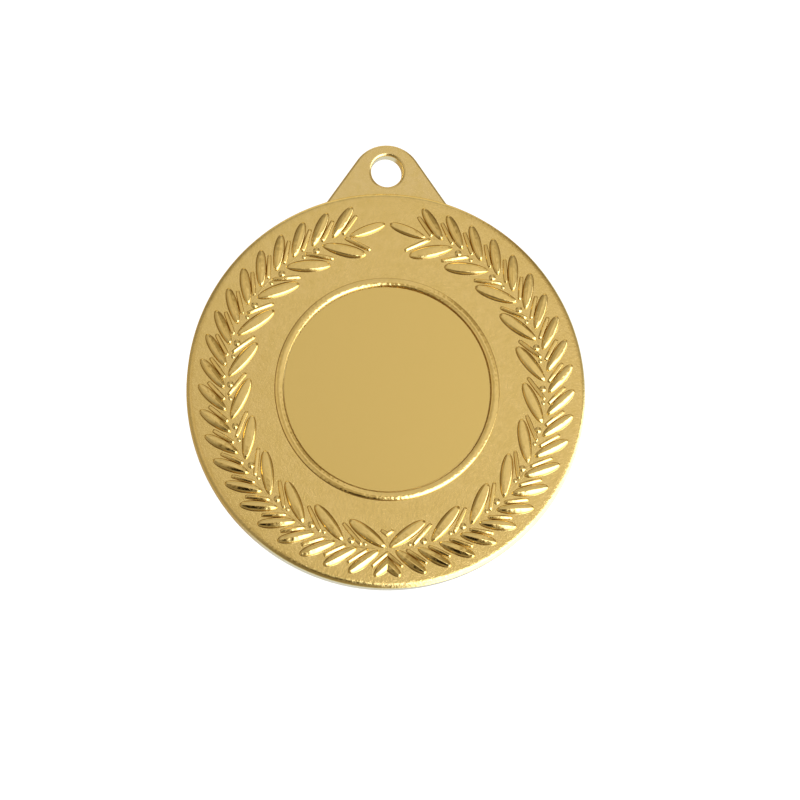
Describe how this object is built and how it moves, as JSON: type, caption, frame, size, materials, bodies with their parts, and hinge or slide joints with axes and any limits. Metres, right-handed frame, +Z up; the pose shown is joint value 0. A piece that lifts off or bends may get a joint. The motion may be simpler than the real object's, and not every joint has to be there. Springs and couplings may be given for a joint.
{
  "type": "award medal",
  "caption": "Round gold award medal with a laurel wreath in relief, a raised ring round a plain centre, and a pierced tab for a ribbon.",
  "frame": {"origin": "centre of the ribbon hole, halfway through the tab's thickness; the disc's centre is 28 mm below it", "axes": "+Z up from the disc's centre through the ribbon hole, +Y through the thickness from the face to the back, +X to the right as the face is seen"},
  "size_m": [0.05, 0.0034, 0.0564],
  "materials": {
    "gold_plate": "bright gold plating over a finely mottled struck surface",
    "gold_centre": "smooth satin gold",
    "gold_relief": "polished gold",
    "adhesive": "thin double-sided film"
  },
  "bodies": {
    "root": {"back_plate": "gold_plate", "front_disc": "gold_plate", "centre_adhesive_pad": "adhesive", "centre_disc": "gold_centre", "centre_ring": "gold_relief", "left_stem": "gold_relief", "left_outer_leaves": "gold_relief", "left_outer_narrow_leaves": "gold_relief", "left_inner_leaves": "gold_relief", "left_inner_narrow_leaves": "gold_relief", "left_tip_leaf": "gold_relief", "left_berries": "gold_relief", "right_stem": "gold_relief", "right_outer_leaves": "gold_relief", "right_outer_narrow_leaves": "gold_relief", "right_inner_leaves": "gold_relief", "right_inner_narrow_leaves": "gold_relief", "right_tip_leaf": "gold_relief", "right_berries": "gold_relief"}
  },
  "joints": []
}
